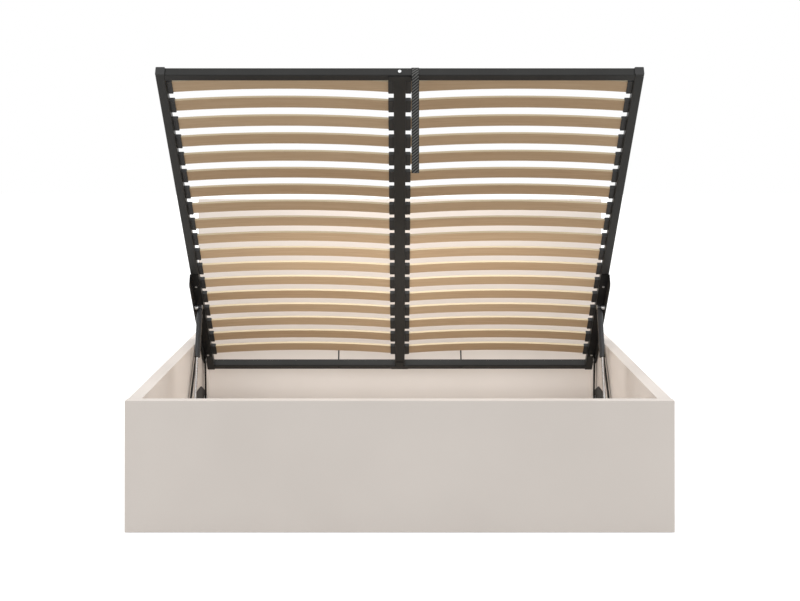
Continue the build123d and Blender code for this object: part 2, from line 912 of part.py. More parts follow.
def strut_eye(side, point, reach):
    """An eye on a pivot, and the neck that joins it to the strut at a reach from the upper pivot."""
    plane, way = plate_at(side, strut_inner, strut_eye_thickness)
    start = (point - strut_top).length
    with BuildPart(mode=Mode.PRIVATE) as eye:
        with BuildSketch(strut_plane(side, start)):
            Circle(strut_neck_radius)
        extrude(amount=reach - start)
        with BuildSketch(plane):
            with Locations(pivot_spot(point)):
                Circle(strut_eye_radius)
        extrude(amount=way)
        with BuildSketch(plane):
            with Locations(pivot_spot(point)):
                Circle(pin_radius + pin_play)
        extrude(amount=way, mode=Mode.SUBTRACT)
    return eye.part


body_start = strut_eye_radius + strut_wall
for side, side_name in ((-1, "left"), (1, "right")):
    with BuildPart() as strut_body:
        add(strut_eye(side, strut_top, body_start))
        with BuildSketch(strut_plane(side, body_start)):
            Circle(strut_body_radius)
        extrude(amount=strut_body_reach - body_start)
        with BuildSketch(strut_plane(side, strut_body_reach - strut_collar_length)):
            Circle(strut_body_radius + strut_collar_extra)
        extrude(amount=strut_collar_length)
        with BuildSketch(strut_plane(side, strut_cavity_start)):
            Circle(strut_body_radius - strut_wall)
        extrude(amount=strut_body_reach - strut_guide_length - strut_cavity_start, mode=Mode.SUBTRACT)
        with BuildSketch(strut_plane(side, strut_body_reach)):
            Circle(strut_rod_radius + strut_rod_play)
        extrude(amount=-strut_guide_length - overrun, mode=Mode.SUBTRACT)
    save(strut_body, "strut_body_" + side_name)

    rod_end = strut_body_reach - strut_rod_overlap
    with BuildPart() as strut_rod:
        add(strut_eye(side, front_foot, strut_open_length - body_start))
        with BuildSketch(strut_plane(side, rod_end)):
            Circle(strut_rod_radius)
        extrude(amount=strut_open_length - body_start - rod_end)
        with BuildSketch(strut_plane(side, rod_end)):
            Circle(strut_body_radius - strut_wall - strut_piston_play)
        extrude(amount=strut_piston_length)
    save(strut_rod, "strut_rod_" + side_name)
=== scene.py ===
# %% [markdown]
# # A storage bed frame, dressed in Blender
#
# The real object is a box of laminated boards with a slatted steel base that swings up on two gas-strut
# fittings. Every hard part already exists as a CAD solid, packed as a frame of named nodes, so this script
# adds what CAD leaves out: the finish of each material, the webbing strap, and the small pieces that a hand
# would notice. The first cell loads the imported model.

# %% Load the imported model
import json
from math import cos, pi, radians, sin

import bmesh
import bpy
from mathutils import Matrix, Vector


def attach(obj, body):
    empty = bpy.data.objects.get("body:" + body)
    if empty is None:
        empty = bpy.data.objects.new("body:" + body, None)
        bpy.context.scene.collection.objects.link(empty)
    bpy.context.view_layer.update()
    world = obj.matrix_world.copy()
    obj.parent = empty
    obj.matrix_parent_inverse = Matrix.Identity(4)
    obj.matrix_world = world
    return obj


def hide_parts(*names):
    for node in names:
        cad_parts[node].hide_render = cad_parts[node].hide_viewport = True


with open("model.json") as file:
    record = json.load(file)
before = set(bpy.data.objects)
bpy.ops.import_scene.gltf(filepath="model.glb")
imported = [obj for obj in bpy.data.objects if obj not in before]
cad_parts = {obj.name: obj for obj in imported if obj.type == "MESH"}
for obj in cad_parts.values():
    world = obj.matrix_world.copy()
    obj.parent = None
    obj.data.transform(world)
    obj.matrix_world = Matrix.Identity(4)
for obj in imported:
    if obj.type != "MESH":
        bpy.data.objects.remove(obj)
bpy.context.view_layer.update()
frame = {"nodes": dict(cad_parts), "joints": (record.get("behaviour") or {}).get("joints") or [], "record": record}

# %% [markdown]
# ## Where things are on the raised base
#
# The base is shown open, turned by 36 degrees about the bed's width. Its pieces are easiest to place by three
# numbers: how far across, how far from the head end towards the foot, and how high above the underside. A
# helper turns those into a point, and another gives a matrix that stands a piece on the base.

# %% Places on the raised base
mm = 0.001
heel = Vector((0, 858, 258)) * mm
lift = radians(36.0)
deck_up = Vector((0, sin(lift), cos(lift)))
headward = Vector((0, cos(lift), -sin(lift)))
base_length = 1996 * mm
tube = 30 * mm
rail_inner = 768 * mm
head_rail_run = 20 * mm
foot_rail_run = 1976 * mm


def deck_point(across, run, height):
    return Vector((across, 0, 0)) + heel - headward * run + deck_up * height


def on_deck(across, run, height):
    """A matrix that stands a piece on the base: its X across, its Y to the head, its Z up from the base."""
    turn = Matrix((Vector((1, 0, 0)), headward, deck_up)).transposed().to_4x4()
    return Matrix.Translation(deck_point(across, run, height)) @ turn


print("foot end of the base at", tuple(round(value, 3) for value in deck_point(0, base_length, 0)))

# %% [markdown]
# ## Shader maths as plain Python
#
# A procedural finish is a small sum over the surface: some noise, a mask, a stripe. Wiring that by hand takes
# dozens of nodes, so one class wraps a socket and gives it Python's operators, and each expression adds its
# Math nodes by itself. Any other node comes from one method, which sets the node up and then plugs it.

# %% A field that varies over a surface, and a finish that is made of such fields
class Field:
    def __init__(self, finish, socket):
        self.finish = finish
        self.socket = socket

    def math(self, operation, *values, clamp=False):
        settings = {"operation": operation, "use_clamp": clamp}
        return self.finish.add("ShaderNodeMath", settings, dict(enumerate(values)))

    def __add__(self, other):
        return self.math("ADD", self, other)

    def __sub__(self, other):
        return self.math("SUBTRACT", self, other)

    def __rsub__(self, other):
        return self.math("SUBTRACT", other, self)

    def __mul__(self, other):
        return self.math("MULTIPLY", self, other)

    def __truediv__(self, other):
        return self.math("DIVIDE", self, other)

    def __gt__(self, other):
        return self.math("GREATER_THAN", self, other)

    def __abs__(self):
        return self.math("ABSOLUTE", self)

    __radd__ = __add__
    __rmul__ = __mul__

    def floor(self):
        return self.math("FLOOR", self)

    def sine(self):
        return self.math("SINE", self)

    def clamped(self):
        return self.math("MULTIPLY", self, 1.0, clamp=True)

    def fade(self, low, high):
        """0 below low, 1 above high and smooth between them."""
        settings = {"interpolation_type": "SMOOTHSTEP"}
        sockets = {"Value": self, "From Min": low, "From Max": high}
        return self.finish.add("ShaderNodeMapRange", settings, sockets)


class Finish:
    def __init__(self, name, **constants):
        self.material = bpy.data.materials.new(name)
        self.material.use_nodes = True
        self.tree = self.material.node_tree
        self.shader = self.tree.nodes["Principled BSDF"]
        for socket, value in constants.items():
            self.shader.inputs[socket.replace("_", " ")].default_value = value
        place = self.tree.nodes.new("ShaderNodeTexCoord")
        self.place = Field(self, place.outputs["Object"])
        self.uv = Field(self, place.outputs["UV"])
        surface = self.tree.nodes.new("ShaderNodeNewGeometry")
        self.facing = Field(self, surface.outputs["True Normal"])

    def plug(self, socket, value):
        if isinstance(value, Field):
            self.tree.links.new(value.socket, socket)
        elif hasattr(value, "__len__") and socket.type == "RGBA" and len(value) == 3:
            socket.default_value = (*value, 1.0)
        else:
            socket.default_value = value

    def add(self, kind, settings=None, sockets=None, output=0):
        """Adds a node: its settings first, then the values or links of its sockets."""
        node = self.tree.nodes.new(kind)
        for key, value in (settings or {}).items():
            if key == "stops":
                ramp = node.color_ramp
                while len(ramp.elements) < len(value):
                    ramp.elements.new(0.5)
                for stop, (position, shade) in zip(ramp.elements, value):
                    stop.position = position
                    stop.color = (*shade, 1.0)
            else:
                setattr(node, key, value)
        for key, value in (sockets or {}).items():
            self.plug(node.inputs[key], value)
        return Field(self, node.outputs[output])

    def axis(self, vector, direction):
        """How far a vector goes along a direction."""
        settings = {"operation": "DOT_PRODUCT"}
        return self.add("ShaderNodeVectorMath", settings, {0: vector, 1: tuple(direction)}, "Value")

    def stretched(self, vector, scale):
        return self.add("ShaderNodeVectorMath", {"operation": "MULTIPLY"}, {0: vector, 1: tuple(scale)})

    def combined(self, x, y, z):
        return self.add("ShaderNodeCombineXYZ", {}, {0: x, 1: y, 2: z})

    def noise(self, vector, scale, detail=2.0, roughness=0.5):
        sockets = {"Vector": vector, "Scale": scale, "Detail": detail, "Roughness": roughness}
        return self.add("ShaderNodeTexNoise", {}, sockets)

    def ramp(self, field, stops):
        return self.add("ShaderNodeValToRGB", {"stops": stops}, {"Fac": field})

    def blend(self, factor, first, second):
        settings = {"data_type": "RGBA"}
        return self.add("ShaderNodeMix", settings, {0: factor, 6: first, 7: second}, 2)

    def bump(self, height, distance, strength=1.0):
        sockets = {"Height": height, "Distance": distance, "Strength": strength}
        return self.add("ShaderNodeBump", {}, sockets)

    def wear(self, **sockets):
        """Plugs what varies over the surface into the shader."""
        for name, value in sockets.items():
            self.plug(self.shader.inputs[name.replace("_", " ")], value)


def colour(red, green, blue):
    """A colour as a screen shows it, from 0 to 255, as the linear values that Blender works in."""
    def linear(value):
        share = value / 255
        return share / 12.92 if share <= 0.04045 else ((share + 0.055) / 1.055) ** 2.4
    return (linear(red), linear(green), linear(blue))


print("greige in linear values:", tuple(round(value, 3) for value in colour(208, 200, 193)))

# %% [markdown]
# ## Matt laminate on the boards
#
# The boards are chipboard wrapped in a matt greige foil. Such a foil is nearly one colour, so what makes it
# look real is small: a soft cloud in the tone, a fine grain pressed into the surface that breaks up the sheen,
# and a hair line a millimetre below each top edge, where the edge band meets the face.

# %% Laminate finish
panel_top = 410.5 * mm
headboard_top = 960 * mm
band_depth = 1 * mm
line_core, line_rim = 0.1 * mm, 0.3 * mm
cloud_scale, fleck_scale, pressed_scale = 3.0, 420.0, 1500.0
foil_light, foil_dark, foil_seam = colour(222, 214, 207), colour(216, 208, 201), colour(160, 150, 141)
laminate = Finish("greige_laminate", Roughness=0.5, Specular_IOR_Level=0.35)
cloud = laminate.noise(laminate.place, cloud_scale, 3.0)
fleck = laminate.noise(laminate.place, fleck_scale, 2.0)
pressed = laminate.noise(laminate.stretched(laminate.place, (1.0, 0.35, 1.0)), pressed_scale, 2.0)
level = laminate.axis(laminate.place, (0, 0, 1))
clear_of_panel_line = abs(level - (panel_top - band_depth)).fade(line_core, line_rim)
clear_of_head_line = abs(level - (headboard_top - band_depth)).fade(line_core, line_rim)
seam = 1.0 - clear_of_panel_line * clear_of_head_line
tone = laminate.ramp(cloud * 0.75 + fleck * 0.25, [(0.3, foil_dark), (0.7, foil_light)])
laminate.wear(
    Base_Color=laminate.blend(seam * 0.4, tone, foil_seam),
    Roughness=0.46 + 0.12 * fleck,
    Normal=laminate.bump(pressed - seam * 0.6, 0.06 * mm, 0.5),
)
print("laminate nodes:", len(laminate.tree.nodes))

# %% [markdown]
# ## Bent birch slats
#
# Each slat is a strip of thin birch plies pressed into a bow. Its faces show long grain that runs with the
# slat, and its edges show the plies as fine light and dark lines that follow the bow. No two slats are cut
# from the same veneer, so the slat's number, found from how far along the base it is, shifts grain and tone.

# %% Slat finish
first_slat = 117 * mm
slat_pitch = 103.8 * mm
slat_width = 56 * mm
slat_middle = 394 * mm
slat_half = 374 * mm
slat_bow = 15 * mm
ply_thickness = 1.6 * mm
slats_in_a_half = 40.0
face_stops = [(0.25, colour(180, 151, 119)), (0.5, colour(193, 166, 134)), (0.75, colour(205, 180, 149))]
edge_stops = [(0.2, colour(180, 162, 130)), (0.8, colour(199, 185, 157))]
fibre_shade = colour(158, 131, 99)
slats = Finish("bent_birch", Roughness=0.5, Specular_IOR_Level=0.3)
run = slats.axis(slats.place, -headward) + headward.dot(heel)
height = slats.axis(slats.place, deck_up) - deck_up.dot(heel)
across = slats.axis(slats.place, (1, 0, 0))
number = ((run - first_slat + slat_width / 2) / slat_pitch).floor() + slats_in_a_half * (across > 0.0)
veneer = slats.add("ShaderNodeTexWhiteNoise", {"noise_dimensions": "1D"}, {"W": number}, "Value")
along_grain = slats.combined(across * 1.6 + veneer * 7.0, run * 46.0 + veneer * 90.0, height * 30.0)
grain = slats.noise(along_grain, 3.2, 5.0, 0.6)
fibre = slats.noise(slats.combined(across * 9.0, run * 900.0, height * 300.0), 1.0, 2.0)
edge = abs(slats.axis(slats.facing, headward)).fade(0.75, 0.9)
share_out = (abs(across) - slat_middle) / slat_half
bowed_height = height + slat_bow * (share_out * share_out)
ply = (bowed_height * (2 * pi / ply_thickness)).sine() * 0.5 + 0.5
face_tone = slats.blend(fibre * 0.35, slats.ramp(grain * 0.7 + veneer * 0.3, face_stops), fibre_shade)
edge_tone = slats.ramp(ply, edge_stops)
slats.wear(
    Base_Color=slats.blend(edge, face_tone, edge_tone),
    Roughness=0.44 + 0.16 * grain,
    Normal=slats.bump(fibre * 0.6 + grain * 0.4, 0.12 * mm, 0.6),
)
print("slats told apart by", slat_pitch, "m along the base")

# %% [markdown]
# ## Powder coat and black plastic
#
# The steel frame is powder coated: a satin film with a fine orange peel and a little dust in its hollows.
# The holders and end caps are moulded plastic, blacker and duller, with a fine spark-eroded grain. Both are
# one dark colour, so they are told apart by how they catch the light.


# %% Dark finishes
def dark_coat(name, base, peel_scale, peel_depth, roughness, spread, shine=0.4):
    coat = Finish(name, Roughness=roughness, Specular_IOR_Level=shine)
    peel = coat.noise(coat.place, peel_scale, 2.0)
    dust = coat.noise(coat.place, 9.0, 4.0, 0.6)
    paler = tuple(value * 1.35 + 0.003 for value in base)
    coat.wear(
        Base_Color=coat.ramp(dust * 0.7 + peel * 0.3, [(0.35, base), (0.75, paler)]),
        Roughness=roughness - spread / 2 + spread * dust,
        Normal=coat.bump(peel, peel_depth, 0.6),
    )
    return coat


frame_tone = colour(36, 36, 35)
frame_coat = dark_coat("anthracite_powder_coat", frame_tone, 650.0, 0.09 * mm, 0.42, 0.14, 0.19)
fitting_coat = dark_coat("black_powder_coat", colour(20, 20, 20), 650.0, 0.09 * mm, 0.5, 0.14, 0.14)
holder_plastic = dark_coat("black_moulded_plastic", colour(34, 34, 34), 1400.0, 0.07 * mm, 0.55, 0.12)
glide_plastic = dark_coat("black_nylon", colour(30, 30, 31), 900.0, 0.05 * mm, 0.45, 0.1)
pad_rubber = dark_coat("black_rubber", colour(34, 34, 34), 500.0, 0.12 * mm, 0.8, 0.1)
strut_enamel = dark_coat("gloss_black_enamel", colour(40, 41, 43), 120.0, 0.03 * mm, 0.26, 0.08)
print("frame coat in linear values:", tuple(round(value, 4) for value in frame_tone))

# %% [markdown]
# ## Bright metal
#
# Pins, screws and bolts are zinc plated: bright, a little blue-grey and slightly clouded. The strut's rod is
# hard chrome, ground round, so it is nearly a mirror with faint rings. The corner plates are duller sheet.


# %% Bright finishes
def bright_metal(name, low, high, roughness, spread, scale, scratch_depth):
    metal = Finish(name, Metallic=1.0, Roughness=roughness)
    cloudy = metal.noise(metal.place, scale, 4.0, 0.6)
    scratch = metal.noise(metal.stretched(metal.place, (1.0, 1.0, 9.0)), scale * 14.0, 2.0)
    metal.wear(
        Base_Color=metal.ramp(cloudy, [(0.35, low), (0.65, high)]),
        Roughness=roughness - spread / 2 + spread * (cloudy * 0.5 + scratch * 0.5),
        Normal=metal.bump(scratch, scratch_depth, 0.4),
    )
    return metal


plating = (colour(204, 206, 208), colour(232, 233, 232))
chrome = (colour(196, 196, 198), colour(208, 208, 209))
sheet = (colour(170, 173, 175), colour(200, 202, 203))
bright_steel = bright_metal("bright_zinc", *plating, 0.3, 0.14, 160.0, 0.02 * mm)
rod_chrome = bright_metal("hard_chrome", *chrome, 0.22, 0.06, 60.0, 0.004 * mm)
zinc_plate = bright_metal("zinc_sheet", *sheet, 0.42, 0.16, 90.0, 0.02 * mm)
print("chrome nodes:", len(rod_chrome.tree.nodes))

# %% [markdown]
# ## Inside the box
#
# The storage floor is thin hardboard with a pale foil on its upper face, and the cleats, the beam and the
# ledges are planed softwood, with grain along their length and a darker line here and there.

# %% Softwood and hardboard
softwood = Finish("planed_softwood", Roughness=0.62, Specular_IOR_Level=0.25)
long_grain = softwood.noise(softwood.stretched(softwood.place, (60.0, 3.0, 60.0)), 1.0, 5.0, 0.6)
rings = (softwood.noise(softwood.stretched(softwood.place, (30.0, 1.2, 30.0)), 1.0, 2.0) * 40.0).sine()
wood_stops = [(0.3, colour(186, 150, 108)), (0.6, colour(214, 184, 142)), (0.8, colour(224, 198, 160))]
softwood.wear(
    Base_Color=softwood.ramp(long_grain * 0.75 + rings * 0.1 + 0.12, wood_stops),
    Roughness=0.55 + 0.15 * long_grain,
    Normal=softwood.bump(long_grain, 0.2 * mm, 0.5),
)

hardboard = Finish("foiled_hardboard", Roughness=0.6, Specular_IOR_Level=0.3)
fibres = hardboard.noise(hardboard.stretched(hardboard.place, (300.0, 120.0, 300.0)), 1.0, 3.0)
patch = hardboard.noise(hardboard.place, 2.5, 3.0)
board_stops = [(0.35, colour(198, 190, 180)), (0.65, colour(208, 200, 191))]
hardboard.wear(
    Base_Color=hardboard.ramp(patch * 0.6 + fibres * 0.4, board_stops),
    Roughness=0.52 + 0.14 * fibres,
    Normal=hardboard.bump(fibres, 0.08 * mm, 0.5),
)
print("softwood nodes:", len(softwood.tree.nodes))

# %% [markdown]
# ## Dress the CAD nodes
#
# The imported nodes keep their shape. Each only needs its finish, so a table goes from the record's material
# slots to the finishes, and the nodes are told apart by their slot.

# %% Put each finish on its nodes
finishes = {
    "board": laminate,
    "storage_floor": hardboard,
    "carcass_wood": softwood,
    "glide_plastic": glide_plastic,
    "pad_rubber": pad_rubber,
    "zinc_plate": zinc_plate,
    "bright_steel": bright_steel,
    "frame_steel": frame_coat,
    "fitting_steel": fitting_coat,
    "slat_wood": slats,
    "holder_plastic": holder_plastic,
    "strut_enamel": strut_enamel,
    "rod_chrome": rod_chrome,
}
for entry in frame["record"]["subparts"]:
    finish = finishes.get(entry["material_slot"])
    if finish:
        for place in frame["nodes"][entry["node"]].material_slots:
            place.material = finish.material

# %% [markdown]
# ## Helpers for new pieces
#
# A new piece starts as a bmesh, which is a mesh that can be edited in code. When it is shaped, it becomes an
# object at the origin, with its place in its mesh, and gets a finish and a body to ride on; where it stands
# for a CAD node, that node is hidden.


# %% From a bmesh to a piece of the bed
def finished_piece(name, shape, finish, body, replaces=(), smooth=True):
    mesh = bpy.data.meshes.new(name)
    shape.to_mesh(mesh)
    shape.free()
    for polygon in mesh.polygons:
        polygon.use_smooth = smooth
    piece = bpy.data.objects.new(name, mesh)
    bpy.context.scene.collection.objects.link(piece)
    mesh.materials.append(finish.material)
    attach(piece, body)
    if replaces:
        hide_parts(*replaces)
    print(name, "faces:", len(mesh.polygons))
    return piece


# %% [markdown]
# ## The pull strap
#
# The strap is 25 mm polyester webbing. It is sewn round the foot rail and hangs from the rail's lower edge,
# and its end is folded back and sewn down. A weave this fine can't be modelled thread by thread, so the
# webbing is a thin band with a map along it, and the finish draws slanting ribs on that map, with a smooth
# selvedge at each edge.

# %% Webbing finish
strap_width = 25 * mm
strap_middle = 51 * mm
strap_cells = 4
twill_pitch = 10 * mm
thread_pitch = 1.1 * mm
webbing_stops = [(0.25, colour(14, 14, 15)), (0.75, colour(102, 102, 100))]
webbing = Finish("charcoal_webbing", Roughness=0.85, Sheen_Weight=0.2, Specular_IOR_Level=0.2)
across_strap = webbing.axis(webbing.uv, (1, 0, 0))
along_strap = webbing.axis(webbing.uv, (0, 1, 0))
slant = ((along_strap + across_strap * 0.8) * (2 * pi * strap_width / twill_pitch)).sine() * 0.5 + 0.5
thread = ((along_strap - across_strap * 1.1) * (2 * pi * strap_width / thread_pitch)).sine() * 0.5 + 0.5
selvedge = abs(across_strap - 0.5).fade(0.42, 0.47)
rib = (slant * 0.75 + thread * 0.25) * (1.0 - selvedge * 0.7)
webbing.wear(
    Base_Color=webbing.ramp(rib, webbing_stops),
    Normal=webbing.bump(rib, 0.5 * mm, 0.8),
)
thread_black = dark_coat("black_sewing_thread", colour(26, 26, 27), 2500.0, 0.1 * mm, 0.7, 0.1)
print("webbing is", strap_width, "m wide")


# %% Webbing band along a path
merge_distance = 0.01 * mm


def webbing_band(points, thickness):
    """A band that follows points in the Y-Z plane, with a map that goes across and along it."""
    shape = bmesh.new()
    start = Vector((-strap_width / 2, *points[0]))
    shares = [cell / strap_cells for cell in range(strap_cells + 1)]
    edge_points = [shape.verts.new(start + Vector((strap_width * share, 0, 0))) for share in shares]
    rows = [shape.edges.new(pair) for pair in zip(edge_points, edge_points[1:])]
    uv = shape.loops.layers.uv.new("webbing")
    travelled = 0.0
    for before, after in zip(points, points[1:]):
        step = Vector((0, after[0] - before[0], after[1] - before[1]))
        grown = bmesh.ops.extrude_edge_only(shape, edges=rows)["geom"]
        fresh = [item for item in grown if isinstance(item, bmesh.types.BMVert)]
        rows = [item for item in grown if isinstance(item, bmesh.types.BMEdge)]
        bmesh.ops.translate(shape, verts=fresh, vec=step)
        rising = set(fresh)
        for face in (item for item in grown if isinstance(item, bmesh.types.BMFace)):
            for corner in face.loops:
                share = corner.vert.co.x / strap_width + 0.5
                reach = travelled + (step.length if corner.vert in rising else 0.0)
                corner[uv].uv = (share, reach / strap_width)
        travelled += step.length
    bmesh.ops.remove_doubles(shape, verts=shape.verts[:], dist=merge_distance)
    bmesh.ops.recalc_face_normals(shape, faces=shape.faces[:])
    bmesh.ops.solidify(shape, geom=shape.faces[:], thickness=thickness)
    return shape


# %% [markdown]
# The tail hangs straight with the slightest sway. At its end the band turns round a tight half circle and
# runs back up behind itself for 28 mm, as a hem does, so the path simply follows it there.

# %% Strap tail
hinge = deck_point(strap_middle, foot_rail_run + tube / 2 + 2 * mm, -2 * mm)
strap_drop = 319 * mm
hem_length = 28 * mm
hem_turn = 0.3 * mm
hem_steps = 6
strap_thickness = 1.8 * mm
tail_steps = 32
tail_sway = 1.2 * mm
tail_y = hinge.y - 0.1 * mm
tail_low = hinge.z - strap_drop + hem_turn + strap_thickness
tail_points = []
for step in range(tail_steps + 1):
    share = step / tail_steps
    sway = tail_sway * sin(share * 2 * pi) * share * (1 - share)
    tail_points.append((tail_y + sway, hinge.z + (tail_low - hinge.z) * share))
for step in range(1, hem_steps + 1):
    angle = pi * step / hem_steps
    tail_points.append((tail_y + hem_turn * (1 - cos(angle)), tail_low - hem_turn * sin(angle)))
tail_points.append((tail_y + 2 * hem_turn, tail_low + hem_length))
tail = webbing_band(tail_points, -strap_thickness)
bmesh.ops.translate(tail, verts=tail.verts[:], vec=(strap_middle, 0, 0))
finished_piece("strap_tail", tail, webbing, "pull_strap", ["pull_strap"])

# %% Strap loop round the foot rail
half = tube / 2 + 0.2 * mm
bend = 2.4 * mm
sleeve_thickness = 1.6 * mm
corner_steps = 5
loop_points = []
for quarter in range(4):
    for step in range(corner_steps):
        angle = radians(90 * quarter + 90 * step / (corner_steps - 1))
        side_y = 1 if quarter in (0, 3) else -1
        side_z = 1 if quarter in (0, 1) else -1
        corner_y = side_y * (half - bend)
        corner_z = side_z * (half - bend)
        loop_points.append((corner_y + bend * cos(angle), corner_z + bend * sin(angle)))
loop_points.append(loop_points[0])
loop = webbing_band(loop_points, -sleeve_thickness)
bmesh.ops.transform(loop, matrix=on_deck(strap_middle, foot_rail_run, tube / 2), verts=loop.verts[:])
finished_piece("strap_sleeve", loop, webbing, "lift_frame", ["strap_loop"])

# %% [markdown]
# ## Stitching
#
# The hem and the top of the tail are held by a box of stitches with a cross in it, the usual way to sew
# webbing that is pulled on. Each stitch is a small pulled-out ball of thread, laid along its line with a
# short gap to the next, on the face that is seen from the foot and on the one behind.


# %% Stitches along lines on the strap
stitch_length = 2.4 * mm
stitch_radius = 0.4 * mm
stitch_gap = 0.9 * mm
box_half = 8.5 * mm


def stitch_line(shape, start, end):
    reach = end - start
    count = round(reach.length / (stitch_length + stitch_gap))
    lie = reach.to_track_quat("X", "Z").to_matrix().to_4x4()
    size = Matrix.Diagonal((stitch_length / 2, stitch_radius, stitch_radius, 1.0))
    for stitch in range(count):
        middle = start + reach * ((stitch + 0.5) / count)
        matrix = Matrix.Translation(middle) @ lie @ size
        bmesh.ops.create_icosphere(shape, subdivisions=2, radius=1.0, matrix=matrix)


def stitched_box(shape, y, low, high):
    """A sewn rectangle with a cross in it, on an upright face of the strap."""
    left = strap_middle - box_half
    right = strap_middle + box_half
    corners = [Vector((x, y, z)) for x, z in ((left, low), (right, low), (right, high), (left, high))]
    for before, after in zip(corners, corners[1:] + corners[:1]):
        stitch_line(shape, before, after)
    stitch_line(shape, corners[0], corners[2])
    stitch_line(shape, corners[1], corners[3])


stitches = bmesh.new()
front_y = tail_y - strap_thickness
hem_y = tail_y + 2 * hem_turn + strap_thickness
hem_box = (tail_low + 3 * mm, tail_low + hem_length - 4 * mm)
top_box = (hinge.z - 30 * mm, hinge.z - 8 * mm)
for y, box in ((front_y, hem_box), (hem_y, hem_box), (front_y, top_box)):
    stitched_box(stitches, y, *box)
finished_piece("strap_stitches", stitches, thread_black, "pull_strap")

# %% [markdown]
# ## Screws with a cross recess
#
# The brackets are held by pan-head screws. The CAD solids are plain, so each is replaced by a turned one: a
# square grid is pulled into a disc, five of its cells are pushed in as the cross recess, and its rim is
# carried down in rings to the head's edge, the seat, the shank and the point.

# %% One screw, with its seat at zero and its head up
screw_cells = 5
screw_ring_radii = (0.9 * mm, 2.1 * mm, 3.4 * mm)
recess_depth = 1.3 * mm
recess_draft = (0.7, 0.7, 1.0)
screw_rings = ((4.2, 1.9), (4.5, 1.1), (4.5, 0.0), (2.0, 0.0), (2.0, -20.0), (0.3, -22.0))
head_height = 2.4 * mm


def cross_head_screw():
    shape = bmesh.new()
    bmesh.ops.create_grid(shape, x_segments=screw_cells, y_segments=screw_cells, size=screw_cells / 2)
    for vert in shape.verts:
        ring = max(abs(vert.co.x), abs(vert.co.y))
        radius = screw_ring_radii[round(ring - 0.5)]
        vert.co = Vector((vert.co.x, vert.co.y, 0)).normalized() * radius + Vector((0, 0, head_height))
    cross = []
    for face in shape.faces:
        middle = face.calc_center_median()
        in_line = min(abs(middle.x), abs(middle.y)) < 0.1 * mm
        if in_line and middle.xy.length < screw_ring_radii[1] * 0.9:
            cross.append(face)
    rim = [edge for edge in shape.edges if edge.is_boundary]
    sunk = bmesh.ops.extrude_face_region(shape, geom=cross)["geom"]
    floor_points = [item for item in sunk if isinstance(item, bmesh.types.BMVert)]
    bmesh.ops.translate(shape, verts=floor_points, vec=(0, 0, -recess_depth))
    bmesh.ops.scale(shape, verts=floor_points, vec=recess_draft)
    for radius, height in screw_rings:
        grown = bmesh.ops.extrude_edge_only(shape, edges=rim)["geom"]
        rim = [item for item in grown if isinstance(item, bmesh.types.BMEdge)]
        for vert in (item for item in grown if isinstance(item, bmesh.types.BMVert)):
            flat = Vector((vert.co.x, vert.co.y, 0)).normalized() * radius * mm
            vert.co = flat + Vector((0, 0, height * mm))
    bmesh.ops.contextual_create(shape, geom=rim)
    bmesh.ops.recalc_face_normals(shape, faces=shape.faces[:])
    return shape


screw_turn = radians(37)


def row_of_screws(name, seats, body, replaced):
    """Screws at their seats, each turned a little further than the last."""
    one = bpy.data.meshes.new(name + "_one")
    pattern = cross_head_screw()
    pattern.to_mesh(one)
    pattern.free()
    shape = bmesh.new()
    for number, (place, outward) in enumerate(seats):
        before = set(shape.verts)
        shape.from_mesh(one)
        fresh = [vert for vert in shape.verts if vert not in before]
        turn = Vector(outward).to_track_quat("Z", "Y").to_matrix().to_4x4()
        spin = Matrix.Rotation(screw_turn * number, 4, "Z")
        bmesh.ops.transform(shape, matrix=Matrix.Translation(place) @ turn @ spin, verts=fresh)
    finished_piece(name, shape, bright_steel, body, [replaced], smooth=False)


# %% The screws of the corner and base brackets
wall = 805 * mm
head_face = 1003 * mm
corner_seat = 3.3 * mm
corner_reach = 22.3 * mm
corner_levels = (41 * mm, 91 * mm)
plate_seat = 4 * mm
plate_level = 135 * mm
plate_shares = (0.1, 0.34, 0.62, 0.9)
joint = {entry["name"]: entry for entry in frame["joints"]}
front_pivot = Vector(joint["front_arm_swing"]["pos_m"])
rear_pivot = Vector(joint["rear_arm_swing"]["pos_m"])
corner_seats = []
base_seats = []
for side in (-1, 1):
    for end in (-1, 1):
        for level_up in corner_levels:
            on_end = Vector((side * (wall - corner_reach), end * (head_face - corner_seat), level_up))
            on_side = Vector((side * (wall - corner_seat), end * (head_face - corner_reach), level_up))
            corner_seats.append((on_end, (0, -end, 0)))
            corner_seats.append((on_side, (-side, 0, 0)))
    for share in plate_shares:
        y = front_pivot.y + share * (rear_pivot.y - front_pivot.y)
        base_seats.append((Vector((side * (wall - plate_seat), y, plate_level)), (-side, 0, 0)))
row_of_screws("cross_head_corner_screws", corner_seats, "box", "corner_screws")
row_of_screws("cross_head_base_screws", base_seats, "box", "base_screws")

# %% [markdown]
# ## Weld beads and rod seals
#
# The cross rails are welded to the side rails, and a weld leaves a bead of overlapping ripples in each inside
# corner. A row of flattened balls, each half over the last, gives that ripple. Where the rod enters the
# strut, a rubber lip seals it: a small circle spun round the rod.

# %% Beads in the corners of the frame
bead_step = 1.9 * mm
bead_count = 14
bead_low = 2.6 * mm
bead_offset = 0.4 * mm
bead_size = Matrix.Diagonal((2.3 * mm, 2.3 * mm, 1.5 * mm, 1.0))
beads = bmesh.new()
for side in (-1, 1):
    for rail_run in (head_rail_run, foot_rail_run):
        for face_side in (-1, 1):
            corner_run = rail_run + face_side * (tube / 2 + bead_offset)
            for step in range(bead_count):
                spot = on_deck(side * (rail_inner - bead_offset), corner_run, bead_low + step * bead_step)
                bmesh.ops.create_icosphere(beads, subdivisions=2, radius=1.0, matrix=spot @ bead_size)
finished_piece("weld_beads", beads, frame_coat, "lift_frame")

